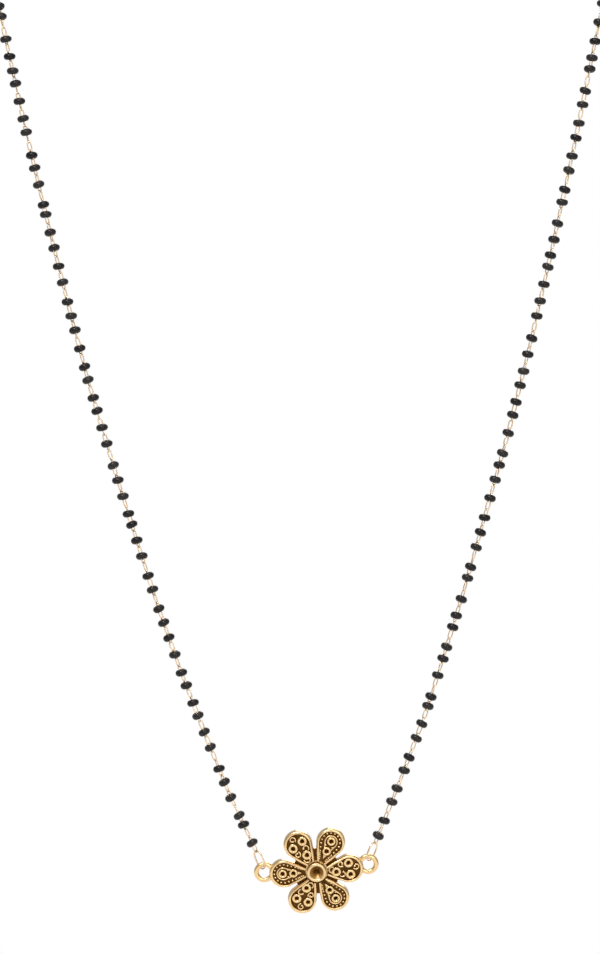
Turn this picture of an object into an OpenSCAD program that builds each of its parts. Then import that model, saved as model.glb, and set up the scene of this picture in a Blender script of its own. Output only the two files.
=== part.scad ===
// Mangalsutra: a cast six-petal flower held by its two side loops in a long loop of fine chain
// threaded with small black beads, closed at the nape by a plain hook.
// Frame: Z up, X to the right seen from the front, the wearer's back towards +Y.
// The origin is the middle of the hook, where the loop hangs on the back of the neck.

/* [Flower] */
// Distance from the flower's middle to the middle of a petal's round end
petal_reach = 6.54; // [6.2:0.02:7.2]
// Radius of a petal's round end
petal_end_r = 2.88; // [2.6:0.02:3]
// Thickness of a petal under its ornament
petal_t = 1; // [0.8:0.05:1.4]
// Width of the raised rim at the sides of a petal's round end
rim_w = 0.6; // [0.5:0.02:0.7]
// Width of the rim at the petal's tip
rim_tip_w = 0.8; // [0.7:0.02:0.9]
// Height of the rim over the petal's floor
rim_h = 0.6; // [0.4:0.05:0.8]
// Height of the foot on which the rim stands
foot_h = 0.6; // [0.4:0.05:0.8]
// Length by which the rim stands in from the edge of its foot
rim_set_in = 0.24; // [0.1:0.02:0.3]
// Distance from the flower's middle to the point in which the rim's inner sides would meet
rim_point = 1.1; // [1:0.05:1.3]
// Angle from a petal's middle line to the side of its widened root, in degrees
root_angle = 28.7; // [26.5:0.1:29]
// Length of the side of the widened root
root_len = 3.9; // [3.4:0.1:4.6]
// Radius of the thin web that joins the petals
web_r = 4.66; // [4:0.05:5.2]
// Height of the web's top over the petals' backs
web_t = 0.8; // [0.5:0.05:0.9]
// Length by which the petals' backs stand proud of the web's
back_step = 0.1; // [0.06:0.01:0.2]
// Distance from the flower's middle at which the petals' ornament begins
petal_start_r = 2.3; // [2.2:0.05:2.5]
// Droop of the petals, their tips towards the back, in degrees
petal_droop = 6; // [0:0.5:8]
// Tilt of the flower in the loop, its right side up, in degrees
flower_tilt = 4.5; // [0:0.5:8]
// Nod of the flower as it hangs from its side loops, its face turned down, in degrees
flower_nod = 12; // [6:0.5:16]

/* [Centre cup] */
// Radius of the cup in the middle
boss_r = 1.98; // [1.7:0.02:2.1]
// Height of the cup from the flower's back
boss_h = 2.1; // [1.8:0.05:2.4]
// Radius of the cup's hollow at its mouth
boss_pit_r = 1.31; // [1:0.02:1.5]
// Depth of the hollow
boss_pit_depth = 1.2; // [0.8:0.05:1.4]

/* [Petal ornament] */
// Height of the ring cups over the petal's floor
cup_h = 0.46; // [0.3:0.02:0.6]
// Radius of a ring cup
cup_r = 0.96; // [0.85:0.01:1]
// Radius of a ring cup's pit at its mouth
cup_pit_r = 0.48; // [0.36:0.01:0.56]
// Depth of the pit
cup_pit_depth = 0.7; // [0.4:0.02:0.9]
// Width of the scrolls and wires laid on the petals
wire_w = 0.34; // [0.26:0.02:0.4]
// Height of the wires over the petal's floor
wire_h = 0.32; // [0.2:0.02:0.44]
// Diameter of the ball at the end of a scroll
scroll_ball_d = 0.5; // [0.44:0.02:0.6]
// Diameter of a grain in the row round a petal
grain_d = 0.44; // [0.36:0.02:0.5]
// Grains in the row round a petal
grains = 19; // [15:2:21]

/* [Side loops] */
// Length by which a side loop's wire runs into the end of its petal
loop_lap = 0.63; // [0.5:0.01:0.75]
// Height of the loops' middles over the flower's long axis
loop_lift = 0.45; // [0:0.01:0.8]
// Radius of a side loop, to the middle of its wire
loop_r = 1.61; // [1.5:0.01:1.8]
// Thickness of a side loop's wire
loop_wire_d = 1; // [0.9:0.02:1.1]
// Height of the loops' wire over the back of the petals' ends, behind the flower's centre of mass
loop_rise = 0.65; // [0.5:0.01:0.9]
// Turn of the jump links' seat outward from the top of the side loops, in degrees
hang_angle = 17; // [10:1:22]

/* [Jump links] */
// Radius of a jump link's round ends, to the middle of the wire
jump_r = 1.3; // [1.2:0.02:1.4]
// Length of a jump link, over all
jump_len = 4.2; // [3.8:0.05:4.6]
// Thickness of a jump link's wire
jump_wire_d = 0.34; // [0.28:0.02:0.4]
// Lean of the left jump link outward from upright, in degrees
left_jump_lean = 22; // [16:1:24]
// Lean of the right jump link outward from upright, in degrees
right_jump_lean = 22; // [16:1:24]
// Turn of the jump links about their length, from flat in the flower's plane, in degrees
jump_turn = 58; // [54:1:64]

/* [Chain and beads] */
// Thickness of the fine chain, as a plain round strand
chain_d = 0.64; // [0.5:0.02:0.7]
// Diameter of a bead
bead_d = 2.4; // [2.1:0.05:2.6]
// Length of a bead along the chain
bead_len = 1.35; // [1.1:0.05:1.4]
// Diameter of the hole through a bead
bead_hole_d = 1.08; // [1.02:0.02:1.2]
// Radius of the bulge of a bead's side
bead_bulge_r = 0.72; // [0.7:0.01:0.8]
// Sides of the polygon that rounds the bulge
bead_bulge_sides = 15; // [15:4:31]
// Mean distance from one bead to the next
bead_pitch = 3.38; // [3.3:0.02:3.8]
// Most that a bead has slid along the chain from its even place
bead_slide = 0.7; // [0:0.05:0.75]
// Most that a bead leans on the chain, in degrees
bead_lean = 8; // [0:1:9]
// First bead's place along the left strand
left_first_bead = 1.5; // [1:0.1:2]
// First bead's place along the right strand
right_first_bead = 1.2; // [1:0.1:2.4]
// Chain left bare at the nape's end of each strand
bare_end = 2.5; // [2:0.1:5]

/* [Clasp] */
// Radius of each half of the hook, to the middle of its wire
hook_r = 2.1; // [1.9:0.05:2.6]
// Thickness of the hook's wire
hook_wire_d = 1; // [0.8:0.05:1.1]
// Length of the collar round the hook's middle
collar_len = 1.4; // [1:0.1:2]
// Radius of the ring at each end of the chain, to the middle of its wire
ring_r = 2.2; // [2:0.05:2.6]
// Thickness of the ring's wire
ring_wire_d = 0.7; // [0.5:0.05:0.8]

/* [Fits] */
// Gap between the jump links and the side loops that they hang in
link_gap = 0.2; // [0.15:0.01:0.25]
// Gap between other pieces that touch on the real necklace
rest_gap = 0.12; // [0.1:0.01:0.2]

/* [Hidden] */
$fn = 48;

antique_gold = [0.72, 0.55, 0.25];
pale_gold = [0.86, 0.7, 0.46];
bead_black = [0.04, 0.04, 0.05];

petals = 6;
petal_turn = 360 / petals;
// Share of a round end's radius at which its straight sides cross it, just short of touching
side_share = 0.988;
// Length by which cuts pass the faces that they open
past = 0.5;

// Middle of the flower, in the plane of the side loops' wire
flower_at = [3.3, -60, -194.09];
// Distance from the flower's middle to the middle of a side loop
loop_reach = petal_reach + petal_end_r + loop_r - loop_lap;
// Length of a petal's straight side at which the side of its widened root meets it
root_join = 0.826 * petal_reach;
// Length from a petal's edge to the middle of its rim, in which its floor and the side loops end
rim_middle = (rim_set_in + rim_w) / 2;

// Grain row round a petal: its round end's middle and radius, the point in which its sides would
// meet and where the row begins, as shares of petal_reach
grain_row_at = 0.994 * petal_reach;
grain_row_r = 0.289 * petal_reach;
grain_row_point = 0.044 * petal_reach;
grain_row_start = 0.397 * petal_reach;
// Wire drop inside the grain row: its middle, outer radius and point, as shares of petal_reach
drop_at = 1.009 * petal_reach;
drop_r = 0.21 * petal_reach;
drop_point = 0.41 * petal_reach;
// Places along the petal of the cups in the wire drop, as shares of petal_reach
drop_cups = [1.026, 0.691];
// Pairs of loose grains between these cups: place along and across, as shares of petal_reach
drop_grains = [0.857, 0.11];

// Cups of a scroll petal, with columns: place along and across the petal, as shares of petal_reach
scroll_cups = [[0.976, 0.19], [1.018, -0.174], [0.584, -0.054]];
// Scrolls of a scroll petal, with columns: middle along and across the petal and radius, as shares of
// petal_reach, then the angle where the scroll starts, how far it turns, and the ball's angle and its
// distance from the scroll's middle as a share of the scroll's radius
scrolls = [
    [1.209, 0.06, 0.094, -150, 305, 162, 0.55],
    [0.739, 0.179, 0.092, -42, -238, -35, 0.5],
    [0.776, -0.139, 0.092, -152, 200, 66, 0.78],
    [0.455, 0.02, 0.09, 55, 215, 55, 1],
];

// Chosen points of the strands from the jump links up to the nape, with columns:
// x, y, z and the number of steps that the chain takes to the next point
left_route = [
    [-10.5, -60, -186.6, 1],
    [-14, -60, -179.2, 1],
    [-19, -60, -166.8, 1],
    [-24.3, -60, -153, 1],
    [-28.5, -60, -141, 1],
    [-32.8, -60, -127.6, 1],
    [-37.5, -60, -112.6, 1],
    [-42.4, -60, -96, 1],
    [-46.7, -60, -79.6, 1],
    [-51, -60, -62.3, 1],
    [-55, -60, -45.4, 1],
    [-58.8, -60, -28, 2],
    [-61, -58.6, -17, 3],
    [-61.2, -53, -9, 4],
    [-58, -41, -4.5, 4],
    [-48.5, -24.5, -2.5, 4],
    [-32.5, -9.5, -1, 4],
    [-18, -2, -0.2, 2],
];
right_route = [
    [17.2, -60, -183.2, 1],
    [20.4, -60, -175.2, 1],
    [25, -60, -163, 1],
    [28.2, -60, -153, 1],
    [32.7, -60, -138.4, 1],
    [37.2, -60, -122.5, 1],
    [41.8, -60, -106, 1],
    [46.5, -60, -87, 1],
    [51, -60, -67, 1],
    [55.2, -60, -47.5, 1],
    [59, -60, -28.5, 2],
    [61.2, -58.6, -17, 3],
    [61.4, -53, -9, 4],
    [58.2, -41, -4.5, 4],
    [48.7, -24.5, -2.5, 4],
    [32.5, -9.5, -1, 4],
    [18, -2, -0.2, 2],
];

// Jump link: its straight length, the height of its lower round end's middle over the seat, and its top
jump_straight = jump_len - jump_wire_d - 2 * jump_r;
jump_low = jump_r - loop_wire_d / 2 - link_gap - jump_wire_d / 2;
jump_top = jump_low + jump_straight + jump_r + jump_wire_d / 2;

// Places of an end ring's middle and of the chain's end, out from the nape
ring_at = 2 * hook_r + ring_r - hook_wire_d / 2 - rest_gap - ring_wire_d / 2;
chain_end_at = ring_at + ring_r + ring_wire_d / 2 + rest_gap;
hook_gap_turn = 80;
hook_tip_d = 1.2 * hook_wire_d;
collar_d = 1.5 * hook_wire_d;

// Edge taken off the lips of the cups and the tops of the scrolls
lip = 0.08;
// Edge taken off the lip of the centre cup
boss_lip = 2 * lip;
// Height of the loops' wire over the flower's back at its middle
loop_level = loop_rise * cos(petal_droop)
             - (petal_reach + petal_end_r - petal_start_r) * sin(petal_droop);
// Height of the line on which the flower swings, over its long axis
swing_lift = loop_lift + loop_r * cos(hang_angle);
// Depth to which ornament is set into the floor under it
set_in = 0.3;
// Height of a grain's middle over the petal's floor
grain_lift = grain_d / 6;
pit_end_r = 0.12;
chain_sides = 8;

// Turns in degrees that make the beads' places and leans uneven: one for both strands, one for each
// strand, and two that keep a bead's leans apart from its slide
uneven_turn = 47.3;
left_turn = 31;
right_turn = 74;
lean_turns = [20, 50];

function unit(v) = v / norm(v);

// A point of the flower's own plane, x along its long axis, in the necklace's frame
function in_flower(x, y) = flower_at + [
    x * cos(flower_tilt) - y * sin(flower_tilt), 0, x * sin(flower_tilt) + y * cos(flower_tilt)];

// Where a jump link hangs on a side loop's wire; side is -1 on the left and 1 on the right
function seat(side) = in_flower(side * (loop_reach + loop_r * sin(hang_angle)), swing_lift);
function jump_lean(side) = side < 0 ? left_jump_lean : right_jump_lean;
function chain_start(side) =
    seat(side) + (jump_top + rest_gap) * [side * sin(jump_lean(side)), 0, cos(jump_lean(side))];

// A point a share t of the way from point i to the next, on a smooth curve through all points p
function between(p, i, t) =
    let (a = p[max(i - 1, 0)], b = p[i], c = p[i + 1], d = p[min(i + 2, len(p) - 1)])
    0.5 * (2 * b + t * (c - a) + t * t * (2 * a - 5 * b + 4 * c - d)
           + t * t * t * (3 * b - a - 3 * c + d));

function place(row) = [row[0], row[1], row[2]];

// The chain's line from its jump link to its end ring
function strand(side, route) =
    let (p = concat([chain_start(side)], [for (row = route) place(row)], [[side * chain_end_at, 0, 0]]),
         steps = concat([1], [for (row = route) row[3]]))
    concat([for (i = [0:len(steps) - 1], k = [0:steps[i] - 1]) between(p, i, k / steps[i])],
           [p[len(p) - 1]]);

// Distance along a line to each of its points
function distances(p, i = 0, sum = 0) =
    i == len(p) - 1 ? [sum] : concat([sum], distances(p, i + 1, sum + norm(p[i + 1] - p[i])));

// Number of the point before a distance s along the line, with the share of the way to the next
function step_at(far, s) = min(lookup(s, [for (i = [0:len(far) - 1]) [far[i], i]]), len(far) - 1.001);
function point_at(p, f) = p[floor(f)] + (f - floor(f)) * (p[floor(f) + 1] - p[floor(f)]);

// Uneven numbers from -1 to 1 for the way that beads slide and lean
function uneven(i, seed) = sin(i * i * uneven_turn + i * seed + seed);

// Points off to one side of a line, each carried along from the one before
function normals(t, n, i = 0) =
    i == len(t) ? [] : let (m = unit(n - (n * t[i]) * t[i])) concat([m], normals(t, m, i + 1));

// Drop outline: a round end and two straight sides that meet in a point
function drop_angle(end_at, end_r, point) = asin(side_share * end_r / (end_at - point));
module drop(end_at, end_r, point) {
    half = drop_angle(end_at, end_r, point);
    side = (end_at - point) * cos(half);
    translate([end_at, 0]) circle(end_r);
    polygon([[point, 0], [point + side * cos(half), -side * sin(half)],
             [point + side * cos(half), side * sin(half)]]);
}

// Drop drawn in by a distance all round
module drop_inside(end_at, end_r, point, by) {
    drop(end_at, end_r - by, point + by / sin(drop_angle(end_at, end_r, point)));
}

// Root of a petal, widened nearly to its neighbours and drawn in by a distance like the drop
module root_inside(by) {
    half = drop_angle(petal_reach, petal_end_r, 0);
    root = by / sin(root_angle);
    join = by / sin(half);
    polygon([[root, 0],
             [root + root_len * cos(root_angle), -root_len * sin(root_angle)],
             [join + root_join * cos(half), -root_join * sin(half)],
             [join + root_join * cos(half), root_join * sin(half)],
             [root + root_len * cos(root_angle), root_len * sin(root_angle)]]);
}

module petal_outline(by) {
    difference() {
        union() {
            drop_inside(petal_reach, petal_end_r, 0, by);
            root_inside(by);
        }
        circle(petal_start_r);
    }
}

module petal_tray() {
    linear_extrude(foot_h) petal_outline(0);
    linear_extrude(petal_t) petal_outline(rim_middle);
    linear_extrude(petal_t + rim_h) difference() {
        petal_outline(rim_set_in);
        drop(petal_reach + rim_w - rim_tip_w, petal_end_r - rim_w, rim_point);
    }
}

module ring_cup(r) {
    rotate_extrude() polygon([
        [0, petal_t - set_in], [r, petal_t - set_in], [r, petal_t + cup_h - lip],
        [r - lip, petal_t + cup_h], [0, petal_t + cup_h]]);
}

module pit(r, top, depth) {
    translate([0, 0, top - depth]) cylinder(r1 = pit_end_r, r2 = r, h = depth);
    translate([0, 0, top]) cylinder(r = r, h = past);
}

module grain() {
    translate([0, 0, petal_t + grain_lift]) sphere(d = grain_d);
}

// Place of a grain in its row, a distance s from the petal's tip
function grain_place(s) =
    let (half = drop_angle(grain_row_at, grain_row_r, grain_row_point),
         turn = 90 + half,
         arc = grain_row_r * turn * PI / 180,
         a = s / grain_row_r * 180 / PI)
    s < arc ? [grain_row_at + grain_row_r * cos(a), grain_row_r * sin(a)]
            : [grain_row_at + grain_row_r * cos(turn) - (s - arc) * cos(half),
               grain_row_r * sin(turn) - (s - arc) * sin(half)];

// Length of the grain row from the petal's tip to the start of the row on one side
function grain_row_len() =
    let (half = drop_angle(grain_row_at, grain_row_r, grain_row_point))
    grain_row_r * (90 + half) * PI / 180
    + (grain_row_at - grain_row_r * sin(half) - grain_row_start) / cos(half);

module grained_ornament() {
    each_side = (grains - 1) / 2;
    for (i = [-each_side:each_side]) {
        at = grain_place(abs(i) * grain_row_len() / each_side);
        translate([at[0], sign(i) * at[1]]) grain();
    }
    for (side = [-1, 1]) translate([drop_grains[0], side * drop_grains[1]] * petal_reach) grain();
    translate([0, 0, petal_t - set_in]) linear_extrude(set_in + wire_h) difference() {
        drop_inside(drop_at, drop_r, drop_point, 0);
        drop_inside(drop_at, drop_r, drop_point, wire_w);
    }
    for (at = drop_cups) translate([at * petal_reach, 0]) ring_cup(cup_r);
}

module grained_pits() {
    for (at = drop_cups) translate([at * petal_reach, 0]) pit(cup_pit_r, petal_t + cup_h, cup_pit_depth);
}

module scroll(row) {
    r = row[2] * petal_reach;
    translate([row[0], row[1]] * petal_reach) {
        rotate([0, 0, min(row[3], row[3] + row[4])]) rotate_extrude(angle = abs(row[4]))
            translate([r, petal_t]) polygon([
                [-wire_w / 2, -set_in], [wire_w / 2, -set_in], [wire_w / 2, wire_h - lip],
                [wire_w / 2 - lip, wire_h], [lip - wire_w / 2, wire_h], [-wire_w / 2, wire_h - lip]]);
        rotate([0, 0, row[5]]) translate([row[6] * r, 0, petal_t + wire_h / 2]) sphere(d = scroll_ball_d);
    }
}

module scrolled_ornament() {
    for (row = scrolls) scroll(row);
    for (cup = scroll_cups) translate(cup * petal_reach) ring_cup(cup_r);
}

module scrolled_pits() {
    for (cup = scroll_cups)
        translate(cup * petal_reach) pit(cup_pit_r, petal_t + cup_h, cup_pit_depth);
}

module centre_cup() {
    rotate_extrude() polygon([
        [0, web_t / 2], [boss_r, web_t / 2], [boss_r, boss_h - boss_lip], [boss_r - boss_lip, boss_h],
        [0, boss_h]]);
}

// Turns a petal about the flower's middle and lets it droop about its start
module at_petal(turn) {
    rotate([0, 0, turn]) translate([petal_start_r, 0]) rotate([0, petal_droop, 0])
        translate([-petal_start_r, 0]) children();
}

// Each second petal carries the grain row, and the others carry the scrolls
module on_petals(first) {
    for (i = [first:2:petals - 1]) at_petal(i * petal_turn) children();
}

module side_loop(side) {
    difference() {
        translate([side * loop_reach, loop_lift, loop_level])
            rotate_extrude() translate([loop_r, 0]) circle(d = loop_wire_d);
        at_petal(90 - side * 90) translate([petal_reach, 0, -past])
            cylinder(r = petal_end_r - rim_middle, h = petal_t + rim_h + 2 * past);
    }
}

// The web that joins the petals, drooping with them
module web() {
    drop = (web_r - petal_start_r) * tan(petal_droop);
    rotate_extrude() polygon([
        [0, back_step], [petal_start_r, back_step], [web_r, back_step - drop], [web_r, web_t - drop],
        [petal_start_r, web_t], [0, web_t]]);
}

module flower_flat() {
    difference() {
        union() {
            web();
            for (i = [0:petals - 1]) at_petal(i * petal_turn) petal_tray();
            on_petals(1) grained_ornament();
            on_petals(0) scrolled_ornament();
            for (side = [-1, 1]) side_loop(side);
            centre_cup();
        }
        on_petals(1) grained_pits();
        on_petals(0) scrolled_pits();
        pit(boss_pit_r, boss_h, boss_pit_depth);
    }
}

module flower_pendant() {
    color(antique_gold) translate(flower_at) rotate([0, -flower_tilt, 0]) rotate([90, 0, 0])
        translate([0, swing_lift, 0]) rotate([flower_nod, 0, 0])
        translate([0, -swing_lift, -loop_level]) flower_flat();
}

module jump_link(side) {
    color(pale_gold) translate(seat(side)) rotate([0, side * jump_lean(side), 0])
        rotate([0, 0, side * jump_turn]) rotate([90, 0, 0]) translate([0, jump_low]) {
            for (end = [0, 1]) translate([0, end * jump_straight])
                rotate([0, 0, end * 180 - 180]) rotate_extrude(angle = 180)
                    translate([jump_r, 0]) circle(d = jump_wire_d);
            for (x = [-jump_r, jump_r]) translate([x, 0]) rotate([-90, 0, 0])
                cylinder(d = jump_wire_d, h = jump_straight);
        }
}

// Round tube along a line, one closed surface
module tube(p, d, sides) {
    last = len(p) - 1;
    t = [for (i = [0:last]) unit(p[min(i + 1, last)] - p[max(i - 1, 0)])];
    n = normals(t, [0, 1, 0]);
    points = [for (i = [0:last], k = [0:sides - 1])
        let (a = 360 * k / sides) p[i] + d / 2 * (cos(a) * n[i] + sin(a) * cross(t[i], n[i]))];
    walls = [for (i = [0:last - 1], k = [0:sides - 1])
        let (a = i * sides + k, b = i * sides + (k + 1) % sides)
        each [[a, a + sides, b + sides], [a, b + sides, b]]];
    polyhedron(points, concat(walls, [[for (k = [0:sides - 1]) k]],
                              [[for (k = [sides - 1:-1:0]) last * sides + k]]));
}

module chain(side, route) {
    color(pale_gold) tube(strand(side, route), chain_d, chain_sides);
}

module bead() {
    rotate_extrude() intersection() {
        translate([bead_d / 2 - bead_bulge_r, 0]) polygon([
            for (i = [0:bead_bulge_sides - 1]) let (a = 360 * i / bead_bulge_sides)
            bead_bulge_r * [cos(a), sin(a)]]);
        translate([bead_hole_d / 2, -bead_len / 2]) square([bead_d, bead_len]);
    }
}

// One half of a strand's beads: half 0 from the jump link up, half 1 on to the nape
module bead_string(side, route, first, seed, half) {
    p = strand(side, route);
    far = distances(p);
    count = floor((far[len(far) - 1] - first - bare_end) / bead_pitch);
    middle = floor(count / 2);
    color(bead_black) for (i = half == 0 ? [0:middle] : [middle + 1:count]) {
        f = step_at(far, first + i * bead_pitch + (i > 0 ? bead_slide * uneven(i, seed) : 0));
        d = unit(p[floor(f) + 1] - p[floor(f)]);
        lean = [for (turn = lean_turns) bead_lean * uneven(i, seed + turn)];
        translate(point_at(p, f)) rotate([0, acos(d[2]), atan2(d[1], d[0])])
            rotate([lean[0], lean[1], 0]) bead();
    }
}

module end_ring(side) {
    color(pale_gold) translate([side * ring_at, 0, 0])
        rotate_extrude() translate([ring_r, 0]) circle(d = ring_wire_d);
}

module clasp_hook() {
    color(pale_gold) rotate([90, 0, 0]) {
        for (turn = [0, 180]) rotate([0, 0, turn]) translate([-hook_r, 0]) {
            rotate_extrude(angle = 360 - hook_gap_turn) translate([hook_r, 0]) circle(d = hook_wire_d);
            rotate([0, 0, 360 - hook_gap_turn]) translate([hook_r, 0]) sphere(d = hook_tip_d);
        }
        rotate([90, 0, 0]) cylinder(d = collar_d, h = collar_len, center = true);
    }
}

flower_pendant();
jump_link(-1);  // jump_link_left
jump_link(1);  // jump_link_right
chain(-1, left_route);  // chain_left
chain(1, right_route);  // chain_right
bead_string(-1, left_route, left_first_bead, left_turn, 0);  // beads_left_front
bead_string(-1, left_route, left_first_bead, left_turn, 1);  // beads_left_back
bead_string(1, right_route, right_first_bead, right_turn, 0);  // beads_right_front
bead_string(1, right_route, right_first_bead, right_turn, 1);  // beads_right_back
end_ring(-1);  // end_ring_left
end_ring(1);  // end_ring_right
clasp_hook();
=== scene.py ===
import math
import bmesh
import bpy
import numpy as np
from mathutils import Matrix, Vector


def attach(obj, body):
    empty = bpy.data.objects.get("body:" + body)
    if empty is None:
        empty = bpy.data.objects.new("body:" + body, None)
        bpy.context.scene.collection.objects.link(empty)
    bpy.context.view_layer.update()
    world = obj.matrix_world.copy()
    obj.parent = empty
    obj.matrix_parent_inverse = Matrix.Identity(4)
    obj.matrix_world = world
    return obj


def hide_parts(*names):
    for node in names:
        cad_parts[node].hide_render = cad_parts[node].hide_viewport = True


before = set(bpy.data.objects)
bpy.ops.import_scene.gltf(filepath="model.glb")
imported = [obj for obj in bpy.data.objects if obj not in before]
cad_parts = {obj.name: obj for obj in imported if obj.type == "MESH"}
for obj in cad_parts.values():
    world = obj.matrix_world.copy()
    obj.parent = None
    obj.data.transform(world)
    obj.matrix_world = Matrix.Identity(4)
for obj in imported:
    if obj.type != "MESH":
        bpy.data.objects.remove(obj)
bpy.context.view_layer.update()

MM = 0.001
SIDES = {-1: "left", 1: "right"}

# Camera: it looks along +Y, and the strands' plane fills the photo's frame at this scale
PHOTO_HEIGHT = 954
MM_PER_PIXEL = 0.2
STRANDS_Y = -60
PHOTO_TOP_Z = -20
CAMERA_DISTANCE = 1300
SENSOR = 36
# Nearest and furthest that it sees, in metres
CLIP_START, CLIP_END = 0.01, 20

# Flower, in its own plane: x along the row of loops, y up, heights over its back
FLOWER_AT = np.array([3.3, STRANDS_Y, -194.09])
FLOWER_TILT = math.radians(4.5)
FLOWER_NOD = math.radians(12)
# A height over everything on the flower
CLEAR_H = 3

# Petals, which droop from PETAL_START_R outward
PETALS = 6
GRAINED, SCROLLED = [60, 180, 300], [0, 120, 240]
PETAL_REACH = 6.54
PETAL_END_R = 2.88
PETAL_T = 1.0
PETAL_START_R = 2.3
PETAL_DROOP = math.radians(6)
ROOT_ANGLE, ROOT_LENGTH, ROOT_JOIN = math.radians(28.7), 3.9, 5.4
# Outlines of petals start this far out, so that they don't touch in the flower's middle
PETAL_TIP = 0.05
RIM_W, RIM_TIP_W, RIM_H, RIM_POINT = 0.6, 0.8, 0.6, 1.1
# Share of the rim's width, and height, from the petal's back edge over the crest to its floor
RIM_PROFILE = [
    (0.06, 0), (0, 0.06), (0, 0.5), (0.02, 0.8), (0.07, 1.08), (0.15, 1.28), (0.25, 1.43),
    (0.37, 1.53), (0.5, 1.58), (0.64, 1.6), (0.77, 1.6), (0.87, 1.56), (0.94, 1.46), (0.98, 1.3),
    (1, 1.12),
]
# Distance from the rim's inner line, and height of the slightly hollow floor
FLOOR_PROFILE = [(0.03, 1.01), (0.3, 0.98), (0.8, 0.96), (1.4, 0.95), (2, 0.95)]

# Web between the petals' roots
WEB_R, WEB_T, WEB_ROUND, BACK_STEP = 4.66, 0.8, 0.06, 0.1

# Centre cup
BOSS_R, BOSS_H = 1.98, 2.1
BOSS_PIT_R, BOSS_PIT_DEPTH = 1.31, 1.2
# Its lip: steps outward from its side and from its pit's edge, and heights
BOSS_LIP = [(0, 1.72), (-0.03, 1.86), (-0.11, 1.99), (-0.24, 2.07), (-0.38, BOSS_H)]
BOSS_PIT_LIP = [(0.16, 2.07), (0.05, 1.98), (-0.02, 1.84)]
# Radius and height over the pit's bottom where its cone turns in
BOSS_PIT_FOOT = (0.3, 0.1)

# Ring cups
CUP_R, DROP_CUP_R, CUP_H = 0.96, 0.88, 0.46
CUP_PIT_R, CUP_PIT_DEPTH = 0.48, 0.7
PIT_END_R = 0.12
# Their lip: steps outward from the cup's side and from its pit's edge, and up from its top
CUP_LIP = [(0, -0.22), (-0.02, -0.12), (-0.08, -0.04), (-0.18, 0)]
CUP_PIT_LIP = [(0.12, 0), (-0.1, -0.03)]
# Their pit: its cone's share of the radius, a step down from the cup's top, and its rounded edge
PIT_CONE = (0.9, 0.16)
PIT_EDGE = [(0.02, -0.05), (0.1, 0.02), (0.1, 0.5)]

# Wires and grains, set into the petals' floors
SET_IN = 0.3
WIRE_W, WIRE_H = 0.34, 0.32
# Share of a wire's height up to which its sides are upright
WIRE_SHOULDER = 0.4
BALL_R = 0.25
GRAIN_R = 0.22
GRAIN_LIFT = GRAIN_R / 3
GRAINS_EACH_SIDE = 9

# Side loops
LOOP_REACH, LOOP_LIFT, LOOP_RISE = 10.4, 0.45, 0.65
LOOP_LEVEL = (LOOP_RISE * math.cos(PETAL_DROOP)
              - (PETAL_REACH + PETAL_END_R - PETAL_START_R) * math.sin(PETAL_DROOP))
LOOP_R, LOOP_WIRE_R = 1.61, 0.5
# How far inside the petal's outline the loop's wire ends
RIM_MIDDLE = 0.42
HANG_ANGLE = math.radians(17)
# Height of the line on which the flower swings, over its long axis
SWING_LIFT = LOOP_LIFT + LOOP_R * math.cos(HANG_ANGLE)

# Places on a petal, as shares of its reach
GRAIN_ROW_AT, GRAIN_ROW_R, GRAIN_ROW_POINT, GRAIN_ROW_START = 0.994, 0.289, 0.044, 0.397
DROP_AT, DROP_R, DROP_POINT = 1.009, 0.21, 0.41
# Cups: place along and across the petal
DROP_CUPS = [(1.026, 0), (0.691, 0)]
SCROLL_CUPS = [(0.976, 0.19), (1.018, -0.174), (0.584, -0.054)]
# The two grains between a grained petal's cups: place along and to either side
DROP_GRAINS = (0.857, 0.11)
# Scrolls: middle along and across the petal, radius, start angle, sweep, and the share of the
# radius that is left at the inner end, where the ball sits
SCROLLS = [
    (1.209, 0.06, 0.1, -154, 323, 0.5),
    (0.739, 0.179, 0.098, -45, -330, 0.48),
    (0.776, -0.139, 0.095, -154, 223, 0.74),
    (0.455, 0.02, 0.09, 55, 215, 1.0),
]

# How finely the flower's round forms are drawn
ARC_STEPS, SIDE_STEPS = 64, 18
DROP_ARC_STEPS, DROP_SIDE_STEPS = 48, 14
WIRE_STEPS, SCROLL_STEPS = 9, 44
TURNED_SIDES, CUP_SIDES = 96, 40
LOOP_STEPS, LOOP_SIDES = 72, 24
BALL_DETAIL = 3

# Colour of the cast gold: it brightens between these heights over a petal's floor
SHADE_FROM, SHADE_TO = 0.02, 0.16
# Slack within which a point counts as on the web, a grain or the centre cup
SHADE_SLACK = 0.02
# Slack that leaves the rims' inner walls their own heights, so they darken towards the floor
WALL_SLACK = 0.1
# How fast the notches between the petals darken, and the centre cup's pit lightens outward
NOTCH_SHADE, PIT_SHADE = 1.5, 0.1
# Height up to which the inner side of the centre cup counts as its pit
PIT_SHADE_TOP = 1.9

# Jump links
JUMP_R, JUMP_LENGTH, JUMP_WIRE_R = 1.3, 4.2, 0.17
JUMP_LEAN = math.radians(22)
JUMP_TURN = math.radians(58)
LINK_GAP, REST_GAP = 0.2, 0.12
JUMP_STEPS, JUMP_SIDES = 20, 14

# Beads, which slide and lean unevenly: distances in millimetres, lean and turns in degrees
BEAD_R, BEAD_LENGTH, BEAD_HOLE_R, BEAD_BULGE_R = 1.2, 1.35, 0.54, 0.72
BEAD_PITCH, BEAD_SLIDE, BEAD_LEAN = 3.38, 0.7, 8
FIRST_BEAD = {-1: 1.5, 1: 1.2}
BARE_END = 2.5
UNEVEN_TURN = 47.3
BEAD_TURN = {-1: 31, 1: 74}
LEAN_TURNS = (20, 50)
BEAD_SIDES, BULGE_STEPS, BULGE_ANGLE = 28, 13, 66
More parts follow.
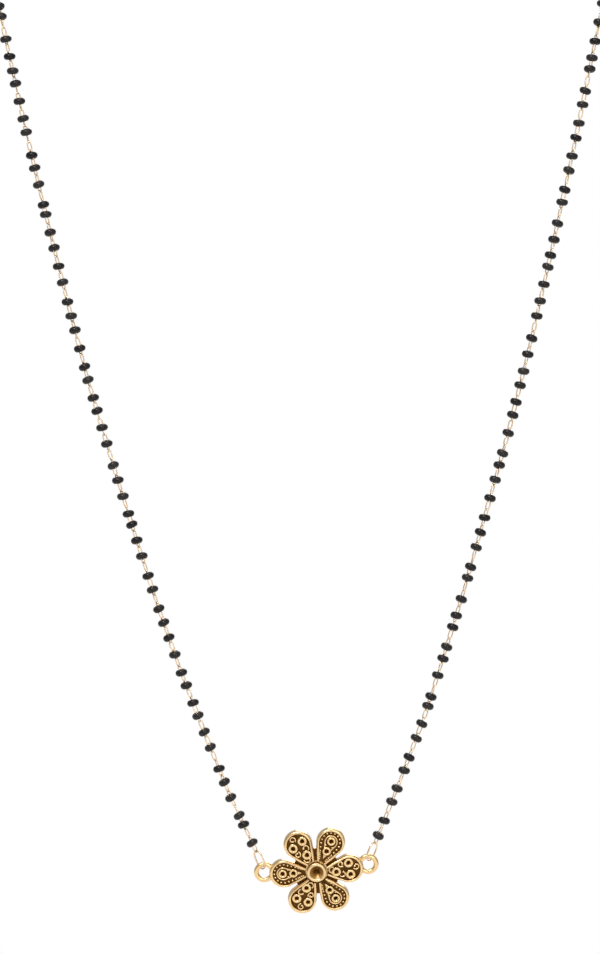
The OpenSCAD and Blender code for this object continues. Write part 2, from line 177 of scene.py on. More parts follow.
# Mouth of a bead's hole: steps out from the hole's wall, and in from the bead's end
BEAD_MOUTH = [(0.09, 0.02), (0.02, 0.09), (0, 0.2)]

# Chain: its links have a little play in each other, and each turns unevenly from the last
CHAIN_PITCH, CHAIN_WIDTH, CHAIN_WIRE_R, CHAIN_PLAY = 1.68, 0.98, 0.125, 0.02
CHAIN_LENGTH = CHAIN_PITCH + 4 * CHAIN_WIRE_R + CHAIN_PLAY
CHAIN_FULLNESS = 0.8
CHAIN_TWIST, CHAIN_TWIST_TURN, CHAIN_FIRST_TURN = 23, 12, 28
CHAIN_STEPS, CHAIN_SIDES = 26, 8

# Hook and rings at the nape
HOOK_R, HOOK_WIRE_R = 2.1, 0.5
RING_R, RING_WIRE_R = 2.2, 0.35
RING_AT = 2 * HOOK_R + RING_R - HOOK_WIRE_R - REST_GAP - RING_WIRE_R
CHAIN_END_AT = RING_AT + RING_R + RING_WIRE_R + REST_GAP

# Chosen points of the strands from the jump links up to the nape: x, y, z and steps to the next
ROUTES = {
    -1: [
        (-10.5, -60, -186.6, 1), (-14, -60, -179.2, 1), (-19, -60, -166.8, 1), (-24.3, -60, -153, 1),
        (-28.5, -60, -141, 1), (-32.8, -60, -127.6, 1), (-37.5, -60, -112.6, 1), (-42.4, -60, -96, 1),
        (-46.7, -60, -79.6, 1), (-51, -60, -62.3, 1), (-55, -60, -45.4, 1), (-58.8, -60, -28, 2),
        (-61, -58.6, -17, 3), (-61.2, -53, -9, 4), (-58, -41, -4.5, 4), (-48.5, -24.5, -2.5, 4),
        (-32.5, -9.5, -1, 4), (-18, -2, -0.2, 2),
    ],
    1: [
        (17.2, -60, -183.2, 1), (20.4, -60, -175.2, 1), (25, -60, -163, 1), (28.2, -60, -153, 1),
        (32.7, -60, -138.4, 1), (37.2, -60, -122.5, 1), (41.8, -60, -106, 1), (46.5, -60, -87, 1),
        (51, -60, -67, 1), (55.2, -60, -47.5, 1), (59, -60, -28.5, 2), (61.2, -58.6, -17, 3),
        (61.4, -53, -9, 4), (58.2, -41, -4.5, 4), (48.7, -24.5, -2.5, 4), (32.5, -9.5, -1, 4),
        (18, -2, -0.2, 2),
    ],
}

# Edges sharper than this stay sharp: degrees on the cast flower, and on beads and wires
CAST_SHARP_FROM, WIRE_SHARP_FROM = 40, 60

# Tones of the cast gold, from its hollows to what is worn bright
GOLD_TONES = [(0.0, (0.035, 0.014, 0.002)), (0.25, (0.11, 0.048, 0.009)), (0.5, (0.35, 0.2, 0.062)),
              (0.85, (0.69, 0.49, 0.25))]
PALE_TONES = [(0.3, (0.58, 0.41, 0.26)), (0.7, (0.78, 0.62, 0.42))]
BLACK_TONES = [(0.0, (0.005, 0.004, 0.004)), (1.0, (0.018, 0.016, 0.015))]
GLASS_IOR, GLASS_SPECULAR = 1.54, 0.16
# How near a wall shades the cast gold, in metres
HOLLOW_SIZE, HOLLOW_SAMPLES = 0.0006, 16

# Stage: floor in metres, the light from all around, and what the camera sees behind the object
FLOOR_R, FLOOR_Z, FLOOR_SIDES = 0.5, -0.26, 128
FLOOR_GREY, FLOOR_ROUGHNESS = 0.9, 0.9
WHITE = (1, 1, 1, 1)
STUDIO_LIGHT, BACKDROP_LIGHT = 0.6, 1.0
LIT_POINT = (0, STRANDS_Y * MM, -0.12)
# Square soft lights: place and side in metres, and power in watts
LIGHTS = [
    ("key", (-0.35, -0.75, 0.75), 0.5, 7),
    ("front", (0.5, -1.2, 0.1), 0.6, 4),
    ("sparkle", (-0.2, -0.9, 0.45), 0.14, 2),
    ("top", (0.1, -0.25, 0.7), 0.5, 2),
    ("back", (0.2, 0.9, 0.5), 0.6, 5),
]


def make_camera():
    frame_height = PHOTO_HEIGHT * MM_PER_PIXEL
    data = bpy.data.cameras.new("camera")
    data.sensor_width = SENSOR
    data.lens = SENSOR * CAMERA_DISTANCE / frame_height
    data.clip_start, data.clip_end = CLIP_START, CLIP_END
    camera = bpy.data.objects.new("camera", data)
    camera.location = Vector((0, STRANDS_Y - CAMERA_DISTANCE, PHOTO_TOP_Z - frame_height / 2)) * MM
    camera.rotation_euler = (math.radians(90), 0, 0)
    bpy.context.scene.collection.objects.link(camera)
    bpy.context.scene.camera = camera


# A shell is a pair of an array of points and a list of faces


def merged(shells):
    points, faces, start = [], [], 0
    for p, f in shells:
        points.append(p)
        faces += [tuple(i + start for i in face) for face in f]
        start += len(p)
    return np.vstack(points), faces


def moved(shell, at, turn=0.0):
    """The shell turned about z by degrees and shifted."""
    c, s = math.cos(math.radians(turn)), math.sin(math.radians(turn))
    x, y, z = shell[0].T
    return np.stack([c * x - s * y, s * x + c * y, z], 1) + np.array(at, float), shell[1]


def ring(r, z, sides):
    """Points of a level circle about the z axis."""
    angles = np.linspace(0, 2 * math.pi, sides, endpoint=False)
    return np.stack([r * np.cos(angles), r * np.sin(angles), np.full(sides, z)], 1)


def rings_shell(rings, closed=False):
    """A skin over rings with the same number of points: capped at both ends, or closed on itself."""
    n, count = len(rings[0]), len(rings)
    faces = []
    for i in range(count if closed else count - 1):
        a, b = i * n, (i + 1) % count * n
        faces += [(a + k, a + (k + 1) % n, b + (k + 1) % n, b + k) for k in range(n)]
    if not closed:
        faces += [tuple(reversed(range(n))), tuple(range((count - 1) * n, count * n))]
    return np.vstack(rings), faces


def lathe(profile, sides):
    """A solid turned about z from points of radius and height, which start and end on the axis."""
    middle = profile[1:-1]
    points = [np.array([[0, 0, profile[0][1]]])]
    points += [ring(r, z, sides) for r, z in middle]
    points.append(np.array([[0, 0, profile[-1][1]]]))
    last = 1 + len(middle) * sides
    faces = []
    for k in range(sides):
        k2 = (k + 1) % sides
        faces.append((0, 1 + k2, 1 + k))
        for i in range(len(middle) - 1):
            a, b = 1 + i * sides, 1 + (i + 1) * sides
            faces.append((a + k, a + k2, b + k2, b + k))
        faces.append((last - sides + k, last - sides + k2, last))
    return np.vstack(points), faces


def ball(radius):
    mesh = bmesh.new()
    bmesh.ops.create_icosphere(mesh, subdivisions=BALL_DETAIL, radius=radius)
    mesh.verts.index_update()
    shell = np.array([v.co for v in mesh.verts]), [tuple(v.index for v in f.verts) for f in mesh.faces]
    mesh.free()
    return shell


def tube(path, across, radius, sides, closed):
    """A round tube along a path, with a side direction given at each of its points."""
    path = np.array(path, float)
    ahead = np.roll(path, -1, 0) - np.roll(path, 1, 0)
    if not closed:
        ahead[0], ahead[-1] = path[1] - path[0], path[-1] - path[-2]
    ahead /= np.linalg.norm(ahead, axis=1)[:, None]
    up = np.cross(ahead, across)
    up /= np.linalg.norm(up, axis=1)[:, None]
    out = np.cross(up, ahead)
    a = np.linspace(0, 2 * math.pi, sides, endpoint=False)[:, None]
    rings = [p + radius * (np.cos(a) * o + np.sin(a) * u) for p, u, o in zip(path, up, out)]
    return rings_shell(rings, closed)


def make_object(name, shell, scale=MM):
    mesh = bpy.data.meshes.new(name)
    mesh.from_pydata((shell[0] * scale).tolist(), [], shell[1])
    work = bmesh.new()
    work.from_mesh(mesh)
    bmesh.ops.recalc_face_normals(work, faces=work.faces)
    work.to_mesh(mesh)
    work.free()
    piece = bpy.data.objects.new(name, mesh)
    bpy.context.scene.collection.objects.link(piece)
    return piece


def cut_or_join(base, shell, operation):
    """The base with the shell joined to it or cut from it, as one closed surface."""
    other = make_object("tool", shell, 1)
    modifier = base.modifiers.new("fuse", "BOOLEAN")
    modifier.solver = "MANIFOLD"
    modifier.operation = operation
    modifier.object = other
    graph = bpy.context.evaluated_depsgraph_get()
    mesh = bpy.data.meshes.new_from_object(base.evaluated_get(graph))
    base.modifiers.clear()
    base.data = mesh
    bpy.data.objects.remove(other)


# Flower


def drop_line(end_at, end_r, point, arc_steps, side_steps):
    """A drop outline, the way each of its points moves when it is drawn in, and how far along the
    petal's side each point lies, from 0 at the drop's point to 1 where its round end begins."""
    half = math.asin(end_r / (end_at - point))
    arc = np.radians(np.linspace(-90 - math.degrees(half), 90 + math.degrees(half), arc_steps))
    out = np.stack([np.cos(arc), np.sin(arc)], 1)
    end = np.array([end_at, 0]) + end_r * out
    tip, tip_in = np.array([point, 0]), np.array([1 / math.sin(half), 0])
    share = np.linspace(0, 1, side_steps + 1)[:-1][:, None]
    low = tip + share * (end[0] - tip)
    high = (tip + share * (end[-1] - tip))[1:][::-1]
    low_in = tip_in + share * (-out[0] - tip_in)
    high_in = (tip_in + share * (-out[-1] - tip_in))[1:][::-1]
    along = np.concatenate([share[:, 0], np.ones(arc_steps), share[1:, 0][::-1]])
    return np.vstack([low, end, high]), np.vstack([low_in, -out, high_in]), along


def at_height(flat, height):
    return np.hstack([flat, np.full((len(flat), 1), height)])


def drawn_in(line, by, height):
    """One ring of a drop, drawn in by a distance."""
    return at_height(line[0] + by * line[1], height)


def petal_line():
    """A petal's outline, widened at its root nearly to its neighbours."""
    outline, _, along = drop_line(PETAL_REACH, PETAL_END_R, PETAL_TIP, ARC_STEPS, SIDE_STEPS)
    far = along * math.sqrt(PETAL_REACH ** 2 - PETAL_END_R ** 2)
    angle = np.interp(far, [ROOT_LENGTH, ROOT_JOIN], [ROOT_ANGLE, math.asin(PETAL_END_R / PETAL_REACH)])
    wide = np.stack([PETAL_TIP + far * np.cos(angle), far * np.sin(angle) * np.sign(outline[:, 1])], 1)
    return np.where(((along < 1) & (far < ROOT_JOIN))[:, None], wide, outline)


def petal_tray():
    """A petal with its rim, which rounds over to a broad crest, and its slightly hollow floor."""
    outer = petal_line()
    inner = drop_line(PETAL_REACH + RIM_W - RIM_TIP_W, PETAL_END_R - RIM_W, RIM_POINT, ARC_STEPS, SIDE_STEPS)
    rings = [at_height(outer + share * (inner[0] - outer), height) for share, height in RIM_PROFILE]
    rings += [drawn_in(inner, by, height) for by, height in FLOOR_PROFILE]
    return rings_shell(rings)


def on_petal(shell, turn):
    """A petal's shell, which droops from the petal's start, turned about the flower's middle."""
    x, y, h = shell[0].T
    c, s = math.cos(PETAL_DROOP), math.sin(PETAL_DROOP)
    out = x - PETAL_START_R
    points = np.stack([PETAL_START_R + out * c + h * s, y, h * c - out * s], 1)
    return moved((points, shell[1]), (0, 0, 0), turn)


def wire_profile():
    """Half-round section of the wires laid on the petals: across, and height over the floor."""
    shoulder = WIRE_SHOULDER * WIRE_H
    arch = [(WIRE_W / 2 * math.cos(a), shoulder + (WIRE_H - shoulder) * math.sin(a))
            for a in np.linspace(math.pi, 0, WIRE_STEPS)]
    return [(-WIRE_W / 2, -SET_IN)] + arch + [(WIRE_W / 2, -SET_IN)]


def drop_wire():
    """The wire drop inside a grain row: a half-round wire along a closed drop."""
    line = drop_line(DROP_AT * PETAL_REACH, DROP_R * PETAL_REACH, DROP_POINT * PETAL_REACH,
                     DROP_ARC_STEPS, DROP_SIDE_STEPS)
    rings = [drawn_in(line, WIRE_W / 2 + a, PETAL_T + h) for a, h in wire_profile()]
    return rings_shell(rings, closed=True)


def scroll(row):
    """A wire scroll that winds inward, and the ball at its inner end."""
    along, across, radius, start, sweep, left = row
    rings = []
    for t in np.linspace(0, 1, SCROLL_STEPS):
        angle = math.radians(start + sweep * t)
        r = radius * PETAL_REACH * (1 - (1 - left) * t)
        rings.append(np.array([[(r + a) * math.cos(angle), (r + a) * math.sin(angle), PETAL_T + h]
                               for a, h in wire_profile()]))
    end = np.radians(start + sweep)
    r = radius * PETAL_REACH * left
    middle = (along * PETAL_REACH, across * PETAL_REACH, 0)
    knob = moved(ball(BALL_R), (r * math.cos(end), r * math.sin(end), PETAL_T + WIRE_H / 2))
    return moved(rings_shell(rings), middle), moved(knob, middle)


def ring_cup(r):
    """A cup with a broad rounded lip; its pit is cut afterwards."""
    foot, top = PETAL_T - SET_IN, PETAL_T + CUP_H
    lip = [(r + out, top + up) for out, up in CUP_LIP]
    lip += [(CUP_PIT_R + out, top + up) for out, up in CUP_PIT_LIP]
    return lathe([(0, foot), (r, foot)] + lip + [(0, lip[-1][1])], CUP_SIDES)


def cup_pit():
    """The cone that is cut from a cup, with a rounded edge."""
    top = PETAL_T + CUP_H
    bottom = top - CUP_PIT_DEPTH
    share, down = PIT_CONE
    edge = [(CUP_PIT_R + out, top + up) for out, up in PIT_EDGE]
    cone = [(0, bottom), (PIT_END_R, bottom), (CUP_PIT_R * share, top - down)]
    return lathe(cone + edge + [(0, edge[-1][1])], CUP_SIDES)


def boss():
    """The centre cup with its lip and pit."""
    lip = [(BOSS_R + out, height) for out, height in BOSS_LIP]
    lip += [(BOSS_PIT_R + out, height) for out, height in BOSS_PIT_LIP]
    bottom = BOSS_H - BOSS_PIT_DEPTH
    foot_r, foot_up = BOSS_PIT_FOOT
    pit = [(foot_r, bottom + foot_up), (PIT_END_R, bottom), (0, bottom)]
    return lathe([(0, WEB_T / 2), (BOSS_R, WEB_T / 2)] + lip + pit, TURNED_SIDES)


def web():
    """The plate that joins the petals' roots, and droops with them."""
    low = (PETAL_START_R - WEB_R) * math.tan(PETAL_DROOP)
    back, front = low + BACK_STEP, low + WEB_T
    return lathe([
        (0, BACK_STEP), (PETAL_START_R, BACK_STEP), (WEB_R - WEB_ROUND, back), (WEB_R, back + WEB_ROUND),
        (WEB_R, front - WEB_ROUND), (WEB_R - WEB_ROUND, front), (PETAL_START_R, WEB_T), (0, WEB_T),
    ], TURNED_SIDES)


def grain_places():
    """Places of a petal's grains: its row, evenly spaced from its tip down both sides, and the two
    between its cups."""
    half = math.asin(GRAIN_ROW_R / (GRAIN_ROW_AT - GRAIN_ROW_POINT))
    turn = math.pi / 2 + half
    arc = GRAIN_ROW_R * turn
    length = arc + (GRAIN_ROW_AT - GRAIN_ROW_R * math.sin(half) - GRAIN_ROW_START) / math.cos(half)
    places = []
    for i in range(-GRAINS_EACH_SIDE, GRAINS_EACH_SIDE + 1):
        s = abs(i) * length / GRAINS_EACH_SIDE
        a = min(s, arc) / GRAIN_ROW_R
        rest = max(s - arc, 0)
        x = GRAIN_ROW_AT + GRAIN_ROW_R * math.cos(a) - rest * math.cos(half)
        y = GRAIN_ROW_R * math.sin(a) - rest * math.sin(half)
        places.append((x * PETAL_REACH, math.copysign(y, i) * PETAL_REACH))
    along, across = DROP_GRAINS
    return places + [(along * PETAL_REACH, side * across * PETAL_REACH) for side in (-1, 1)]


def side_loop(side):
    """A side loop, open where its wire runs into the rim of its petal."""
    dx, dy = LOOP_REACH - PETAL_REACH, LOOP_LIFT
    apart, towards = math.hypot(dx, dy), math.atan2(dy, dx)
    inside = PETAL_END_R - RIM_MIDDLE
    reach = math.acos((inside ** 2 - apart ** 2 - LOOP_R ** 2) / (2 * apart * LOOP_R))
    angles = np.linspace(towards - reach, towards + reach, LOOP_STEPS)
    out = np.stack([np.cos(angles), np.sin(angles), np.zeros(LOOP_STEPS)], 1)
    path = np.array([LOOP_REACH, LOOP_LIFT, LOOP_LEVEL]) + LOOP_R * out
    points, faces = tube(path, out, LOOP_WIRE_R, LOOP_SIDES, False)
    return points * np.array([side, 1, 1]), faces


def to_necklace(points):
    """Points of the flower's own frame, nodded about its swing line and tilted, in the necklace's."""
    x, y, h = np.asarray(points, float).T
    c, s = math.cos(FLOWER_NOD), math.sin(FLOWER_NOD)
    up, out = y - SWING_LIFT, h - LOOP_LEVEL
    y, h = SWING_LIFT + up * c - out * s, up * s + out * c
    c, s = math.cos(FLOWER_TILT), math.sin(FLOWER_TILT)
    return np.stack([x * c - y * s, -h, x * s + y * c], 1) + FLOWER_AT


def relief(points):
    """Height of each point over the back of its own petal, for the colour of the cast gold. Rims,
    grains, loops and the back count as high all over, and the centre cup's pit as low."""
    x, y, h = points.T
    far, step = np.hypot(x, y), 2 * math.pi / PETALS
    angle = np.arctan2(y, x)
    grained = np.round(angle / step) % 2 == 1
    angle -= step * np.round(angle / step)
    along, across = far * np.cos(angle), np.abs(far * np.sin(angle))
    out = along - PETAL_START_R
    height = h * math.cos(PETAL_DROOP) + np.maximum(out, 0) * math.sin(PETAL_DROOP)
    on_axis = PETAL_START_R + out * math.cos(PETAL_DROOP) - h * math.sin(PETAL_DROOP)
    near = np.min([np.hypot(on_axis - a, across - abs(b)) for a, b in grain_places()], 0)
    end_at, end_r = PETAL_REACH + RIM_W - RIM_TIP_W, PETAL_END_R - RIM_W
    slope = math.tan(math.asin(end_r / (end_at - RIM_POINT)))
    in_tray = (np.hypot(on_axis - end_at, across) < end_r + WALL_SLACK) | (
        (on_axis < end_at) & (across < (on_axis - RIM_POINT) * slope + WALL_SLACK))
    high = PETAL_T + RIM_H
    in_notch = np.where(far < WEB_R + SHADE_SLACK, PETAL_T + NOTCH_SHADE * (height - WEB_T), high)
    value = np.where(grained & (near < GRAIN_R + SHADE_SLACK) & (height > PETAL_T), high, height)
    value = np.where(in_tray, value, in_notch)
    value = np.where((far < BOSS_R + SHADE_SLACK / 2) | (height < WEB_T / 2), high, value)
    in_pit = (far < BOSS_PIT_R + SHADE_SLACK) & (h < PIT_SHADE_TOP) & (h > WEB_T)
    return np.where(in_pit, PETAL_T + SHADE_FROM + PIT_SHADE * (far / BOSS_PIT_R) ** 2, value)


def make_flower():
    turns = range(0, 360, 360 // PETALS)
    piece = make_object("flower", merged([on_petal(petal_tray(), turn) for turn in turns]), 1)
    wires, knobs, cups, grains, pits = [], [], [], [], []
    for turn in GRAINED:
        wires.append(on_petal(drop_wire(), turn))
        for x, y in grain_places():
            grains.append(on_petal(moved(ball(GRAIN_R), (x, y, PETAL_T + GRAIN_LIFT)), turn))
    for turn in SCROLLED:
        for row in SCROLLS:
            wire, knob = scroll(row)
            wires.append(on_petal(wire, turn))
            knobs.append(on_petal(knob, turn))
    for turns, cup_r, places in ((GRAINED, DROP_CUP_R, DROP_CUPS), (SCROLLED, CUP_R, SCROLL_CUPS)):
        for turn in turns:
            for along, across in places:
                at = (along * PETAL_REACH, across * PETAL_REACH, 0)
                cups.append(on_petal(moved(ring_cup(cup_r), at), turn))
                pits.append(on_petal(moved(cup_pit(), at), turn))
    for shell in [*wires, merged(knobs), *cups, merged(grains)]:
        cut_or_join(piece, shell, "UNION")
    # The pits and the petals' ends in the middle come out before the web and the centre cup go in
    middle = lathe([(0, WEB_T), (PETAL_START_R, WEB_T), (PETAL_START_R, CLEAR_H), (0, CLEAR_H)], TURNED_SIDES)
    for shell in (merged(pits), middle):
        cut_or_join(piece, shell, "DIFFERENCE")
    for shell in (web(), boss(), side_loop(-1), side_loop(1)):
        cut_or_join(piece, shell, "UNION")
    points = np.array([v.co for v in piece.data.vertices])
    heights = piece.data.attributes.new("relief", "FLOAT", "POINT")
    heights.data.foreach_set("value", relief(points).astype(np.float32))
    piece.data.vertices.foreach_set("co", (to_necklace(points) * MM).astype(np.float32).ravel())
    piece.data.update()
    return piece


# Strands


def seat(side):
    """Where a jump link hangs on a side loop's wire."""
    return to_necklace([[side * (LOOP_REACH + LOOP_R * math.sin(HANG_ANGLE)), SWING_LIFT, LOOP_LEVEL]])[0]


def jump_heights():
    """Over the seat: the middle of a jump link's lower round end, its straight length and its top."""
    straight = JUMP_LENGTH - 2 * JUMP_WIRE_R - 2 * JUMP_R
    low = JUMP_R - LOOP_WIRE_R - LINK_GAP - JUMP_WIRE_R
    return low, straight, low + straight + JUMP_R + JUMP_WIRE_R


def curve_point(p, i, t):
    """A point a share t of the way from point i to the next, on a smooth curve through all points."""
    a, b, c, d = p[max(i - 1, 0)], p[i], p[i + 1], p[min(i + 2, len(p) - 1)]
    return 0.5 * (2 * b + t * (c - a) + t * t * (2 * a - 5 * b + 4 * c - d)
                  + t ** 3 * (3 * b - a - 3 * c + d))


def strand(side):
    """The chain's line from its jump link to its end ring, and the distance to each point of it."""
    upward = np.array([side * math.sin(JUMP_LEAN), 0, math.cos(JUMP_LEAN)])
    start = seat(side) + (jump_heights()[2] + REST_GAP) * upward
    points = [start] + [np.array(row[:3], float) for row in ROUTES[side]]
    points.append(np.array([side * CHAIN_END_AT, 0.0, 0.0]))
    steps = [1] + [row[3] for row in ROUTES[side]]
    line = [curve_point(points, i, k / n) for i, n in enumerate(steps) for k in range(n)] + [points[-1]]
    line = np.array(line)
    far = np.concatenate([[0], np.cumsum(np.linalg.norm(np.diff(line, axis=0), axis=1))])
    return line, far


def on_line(line, far, s):
    """The point at a distance along the line, which runs on straight past its ends, and the line's
    direction there."""
    i = int(np.clip(np.searchsorted(far, s, "right") - 1, 0, len(line) - 2))
    step = line[i + 1] - line[i]
    return line[i] + step * (s - far[i]) / (far[i + 1] - far[i]), step / np.linalg.norm(step)


def uneven(i, turn):
    """A number from -1 to 1 that differs from one bead or link to the next."""
    return math.sin(math.radians(i * i * UNEVEN_TURN + i * turn + turn))


def about_x(angle):
    c, s = math.cos(angle), math.sin(angle)
    return np.array([[1, 0, 0], [0, c, -s], [0, s, c]])


def about_y(angle):
    c, s = math.cos(angle), math.sin(angle)
    return np.array([[c, 0, s], [0, 1, 0], [-s, 0, c]])


def about_z(angle):
    c, s = math.cos(angle), math.sin(angle)
    return np.array([[c, -s, 0], [s, c, 0], [0, 0, 1]])


def turned_to(direction):
    """Rotation that takes z to a direction: about y by its lean, then about z by its bearing."""
    return about_z(math.atan2(direction[1], direction[0])) @ about_y(math.acos(direction[2]))


def bead():
    """A seed bead: a round bulging side and a hole with soft mouths, as one closed surface."""
    middle, half = BEAD_R - BEAD_BULGE_R, BEAD_LENGTH / 2
    bulge = [(middle + BEAD_BULGE_R * math.cos(a), BEAD_BULGE_R * math.sin(a))
             for a in np.radians(np.linspace(-BULGE_ANGLE, BULGE_ANGLE, BULGE_STEPS))]
    mouth = [(BEAD_HOLE_R + out, half - into) for out, into in BEAD_MOUTH]
    profile = bulge + mouth + [(r, -z) for r, z in reversed(mouth)]
    return rings_shell([ring(r, z, BEAD_SIDES) for r, z in profile], closed=True)


def make_beads(side):
    line, far = strand(side)
    count = math.floor((far[-1] - FIRST_BEAD[side] - BARE_END) / BEAD_PITCH)
    points, faces = bead()
    beads = []
    for i in range(count + 1):
        slide = BEAD_SLIDE * uneven(i, BEAD_TURN[side]) if i else 0
        at, ahead = on_line(line, far, FIRST_BEAD[side] + i * BEAD_PITCH + slide)
        lean_x, lean_y = [math.radians(BEAD_LEAN * uneven(i, BEAD_TURN[side] + turn)) for turn in LEAN_TURNS]
        place = turned_to(ahead) @ (about_y(lean_y) @ about_x(lean_x))
        beads.append((points @ place.T + at, faces))
    return make_object(f"seed_beads_{SIDES[side]}", merged(beads))


def oval(width, length, steps, fullness):
    """A flat oval in x and z, fuller than an ellipse, with its outward directions."""
    a = np.linspace(0, 2 * math.pi, steps, endpoint=False)
    c, s = np.cos(a), np.sin(a)
    path = np.stack([width / 2 * np.sign(c) * np.abs(c) ** fullness, np.zeros(steps),
                     length / 2 * np.sign(s) * np.abs(s) ** fullness], 1)
    along = np.roll(path, -1, 0) - np.roll(path, 1, 0)
    return path, np.stack([along[:, 2], np.zeros(steps), -along[:, 0]], 1)


def make_chain(side):
    line, far = strand(side)
    path, out = oval(CHAIN_WIDTH - 2 * CHAIN_WIRE_R, CHAIN_LENGTH - 2 * CHAIN_WIRE_R,
                     CHAIN_STEPS, CHAIN_FULLNESS)
    points, faces = tube(path, out, CHAIN_WIRE_R, CHAIN_SIDES, True)
    start = CHAIN_LENGTH / 2 - REST_GAP - 2 * JUMP_WIRE_R - 2 * CHAIN_WIRE_R - CHAIN_PLAY
    end = far[-1] - CHAIN_LENGTH / 2 + REST_GAP + 2 * RING_WIRE_R + 2 * CHAIN_WIRE_R
    count = round((end - start) / CHAIN_PITCH)
    pitch = (end - start) / count
    links = []
    for i in range(count + 1):
        at = start + i * pitch
        a, b = on_line(line, far, at - pitch / 2)[0], on_line(line, far, at + pitch / 2)[0]
        ahead = (b - a) / np.linalg.norm(b - a)
        turn = 90 * (i % 2) + CHAIN_TWIST * uneven(i // 2, CHAIN_TWIST_TURN) + CHAIN_FIRST_TURN
        place = turned_to(ahead) @ about_z(math.radians(turn))
        links.append((points @ place.T + (a + b) / 2, faces))
    return make_object(f"cable_chain_{SIDES[side]}", merged(links))


def make_jump_link(side):
    low, straight, _ = jump_heights()
    a, level = np.linspace(0, math.pi, JUMP_STEPS), np.zeros(JUMP_STEPS)
    top = np.stack([JUMP_R * np.cos(a), level, low + straight + JUMP_R * np.sin(a)], 1)
    base = np.stack([-JUMP_R * np.cos(a), level, low - JUMP_R * np.sin(a)], 1)
    path = np.vstack([top, base])
    out = path.copy()
    out[:, 2] -= np.clip(path[:, 2], low, low + straight)
    points, faces = tube(path, out, JUMP_WIRE_R, JUMP_SIDES, True)
    place = about_y(side * JUMP_LEAN) @ about_z(side * JUMP_TURN)
    return make_object(f"oval_link_{SIDES[side]}", (points @ place.T + seat(side), faces))


# Materials


class Nodes:
    """Short ways to add and join the nodes of one material."""

    def __init__(self, name):
        self.material = bpy.data.materials.new(name)
        self.material.use_nodes = True
        self.tree = self.material.node_tree
        self.surface = self.tree.nodes["Principled BSDF"]

    def add(self, kind, inputs=None, **settings):
        node = self.tree.nodes.new(kind)
        for key, value in settings.items():
            setattr(node, key, value)
        for key, value in (inputs or {}).items():
            if isinstance(value, bpy.types.NodeSocket):
                self.tree.links.new(value, node.inputs[key])
            else:
                node.inputs[key].default_value = value
        return node

    def noise(self, scale, detail, roughness=0.5):
        place = self.add("ShaderNodeTexCoord").outputs["Object"]
        inputs = {"Vector": place, "Scale": scale, "Detail": detail, "Roughness": roughness}
        return self.add("ShaderNodeTexNoise", inputs).outputs["Fac"]

    def ramp(self, factor, stops):
        node = self.add("ShaderNodeValToRGB", {"Fac": factor})
        elements = node.color_ramp.elements
        while len(elements) < len(stops):
            elements.new(0.5)
        for element, (place, color) in zip(elements, stops):
            element.position = place
            element.color = (*color, 1)
        return node.outputs["Color"]

    def span(self, value, low, high, to_low, to_high):
        """The value, with low to high stretched to to_low to to_high."""
        inputs = {"Value": value, "From Min": low, "From Max": high, "To Min": to_low, "To Max": to_high}
        return self.add("ShaderNodeMapRange", inputs).outputs["Result"]

    def maths(self, operation, a, b):
        return self.add("ShaderNodeMath", {0: a, 1: b}, operation=operation).outputs["Value"]

    def connect(self, **links):
        for key, socket in links.items():
            self.tree.links.new(socket, self.surface.inputs[key.replace("_", " ")])

    def bump(self, height, strength, distance):
        inputs = {"Height": height, "Strength": strength, "Distance": distance}
        self.connect(Normal=self.add("ShaderNodeBump", inputs).outputs["Normal"])


def antique_gold():
    """Cast gold plate, worn bright on what stands out and dark brown in the hollows."""
    n = Nodes("antique_gold")
    open_air = n.add("ShaderNodeAmbientOcclusion", {"Distance": HOLLOW_SIZE},
                     samples=HOLLOW_SAMPLES).outputs["AO"]
    height = n.add("ShaderNodeAttribute", attribute_name="relief").outputs["Fac"]
    raised = n.span(height, low=PETAL_T + SHADE_FROM, high=PETAL_T + SHADE_TO, to_low=0.16, to_high=1.0)
    rubbed = n.span(open_air, low=0.1, high=0.6, to_low=0.25, to_high=1.0)
    patchy = n.span(n.noise(scale=900, detail=5.0), low=0.3, high=0.7, to_low=-0.08, to_high=0.08)
    worn = n.maths("ADD", n.maths("MULTIPLY", rubbed, raised), patchy)
    n.surface.inputs["Metallic"].default_value = 1.0
    n.connect(Base_Color=n.ramp(worn, GOLD_TONES),
              Roughness=n.span(worn, low=0.0, high=1.0, to_low=0.5, to_high=0.26))
    n.bump(n.noise(scale=5200, detail=6.0, roughness=0.6), strength=0.25, distance=0.00004)
    return n.material


def pale_gold():
    """Bright wire with a slight pink cast and faint drawing marks."""
    n = Nodes("pale_gold")
    n.surface.inputs["Metallic"].default_value = 1.0
    marks = n.noise(scale=3000, detail=4.0)
    n.connect(Base_Color=n.ramp(n.noise(scale=650, detail=3.0), PALE_TONES),
              Roughness=n.span(marks, low=0.3, high=0.7, to_low=0.2, to_high=0.34))
    n.bump(n.noise(scale=9000, detail=3.0), strength=0.15, distance=0.00002)
    return n.material


def black_glass():
    """Opaque black glass, each bead a little different, with a soft uneven gloss."""
    n = Nodes("black_glass")
    each = n.add("ShaderNodeNewGeometry").outputs["Random Per Island"]
    patches = n.noise(scale=1400, detail=3.0)
    n.connect(Base_Color=n.ramp(each, BLACK_TONES),
              Roughness=n.span(patches, low=0.3, high=0.7, to_low=0.09, to_high=0.2))
    n.surface.inputs["IOR"].default_value = GLASS_IOR
    n.surface.inputs["Specular IOR Level"].default_value = GLASS_SPECULAR
    n.bump(n.noise(scale=700, detail=2.0), strength=0.3, distance=0.00008)
    return n.material


# Stage


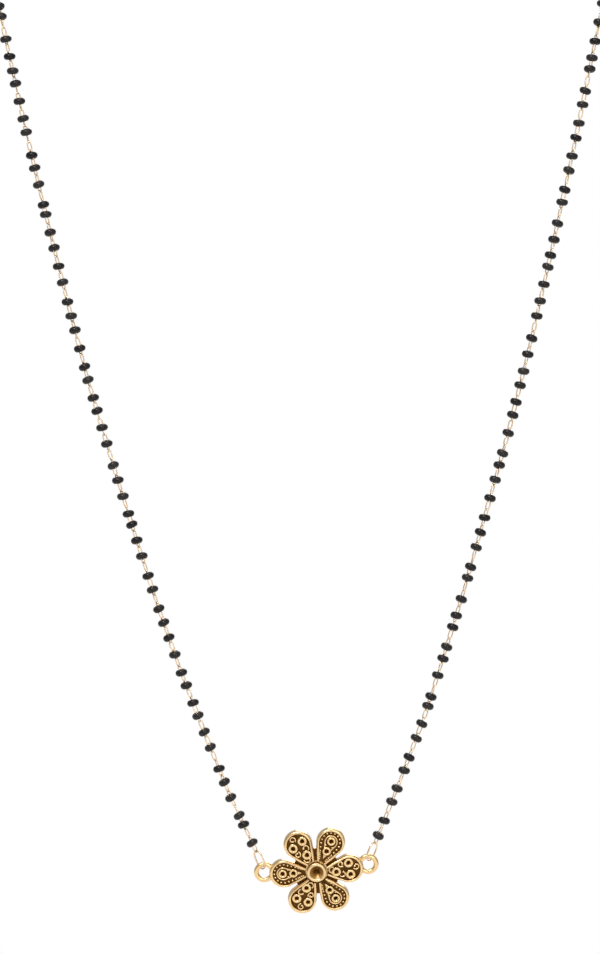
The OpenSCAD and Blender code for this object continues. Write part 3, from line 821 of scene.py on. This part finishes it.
def make_floor():
    bpy.ops.mesh.primitive_circle_add(
        vertices=FLOOR_SIDES, radius=FLOOR_R, fill_type="NGON", location=(0, 0, FLOOR_Z))
    floor = bpy.context.object
    floor.name = "floor"
    material = bpy.data.materials.new("pale_floor")
    material.use_nodes = True
    surface = material.node_tree.nodes["Principled BSDF"]
    surface.inputs["Base Color"].default_value = (FLOOR_GREY, FLOOR_GREY, FLOOR_GREY, 1)
    surface.inputs["Roughness"].default_value = FLOOR_ROUGHNESS
    floor.data.materials.append(material)


def make_world():
    """Even white light from all around; the camera itself sees plain white."""
    world = bpy.data.worlds.new("studio")
    bpy.context.scene.world = world
    world.use_nodes = True
    tree = world.node_tree
    around, behind = tree.nodes["Background"], tree.nodes.new("ShaderNodeBackground")
    for node, strength in ((around, STUDIO_LIGHT), (behind, BACKDROP_LIGHT)):
        node.inputs["Color"].default_value = WHITE
        node.inputs["Strength"].default_value = strength
    ray, mix = tree.nodes.new("ShaderNodeLightPath"), tree.nodes.new("ShaderNodeMixShader")
    tree.links.new(ray.outputs["Is Camera Ray"], mix.inputs["Fac"])
    tree.links.new(around.outputs["Background"], mix.inputs[1])
    tree.links.new(behind.outputs["Background"], mix.inputs[2])
    tree.links.new(mix.outputs["Shader"], tree.nodes["World Output"].inputs["Surface"])
    bpy.context.scene.view_settings.view_transform = "Standard"


def soft_light(name, at, size, power):
    """A square soft light that faces the object."""
    data = bpy.data.lights.new(name, "AREA")
    data.size = size
    data.energy = power
    light = bpy.data.objects.new(name, data)
    light.location = at
    aim = Vector(LIT_POINT) - Vector(at)
    light.rotation_euler = aim.to_track_quat("-Z", "Y").to_euler()
    bpy.context.scene.collection.objects.link(light)


def finish_piece(piece, sharp_from, material, slot, body, *nodes):
    piece.data.shade_smooth()
    piece.data.set_sharp_from_angle(angle=math.radians(sharp_from))
    piece.data.materials.clear()
    piece.data.materials.append(material)
    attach(piece, body)
    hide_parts(*nodes)


make_camera()
make_floor()
make_world()
for row in LIGHTS:
    soft_light(*row)
gold, pale, black = antique_gold(), pale_gold(), black_glass()
finish_piece(make_flower(), CAST_SHARP_FROM, gold, "antique_gold", "pendant", "flower_pendant")
for side, word in SIDES.items():
    finish_piece(make_beads(side), WIRE_SHARP_FROM, black, "black_glass", "strands",
                 f"beads_{word}_front", f"beads_{word}_back")
    finish_piece(make_chain(side), WIRE_SHARP_FROM, pale, "pale_gold", "strands", f"chain_{word}")
    finish_piece(make_jump_link(side), WIRE_SHARP_FROM, pale, "pale_gold", "strands", f"jump_link_{word}")
for name in ("end_ring_left", "end_ring_right", "clasp_hook"):
    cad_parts[name].data.materials.clear()
    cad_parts[name].data.materials.append(pale)
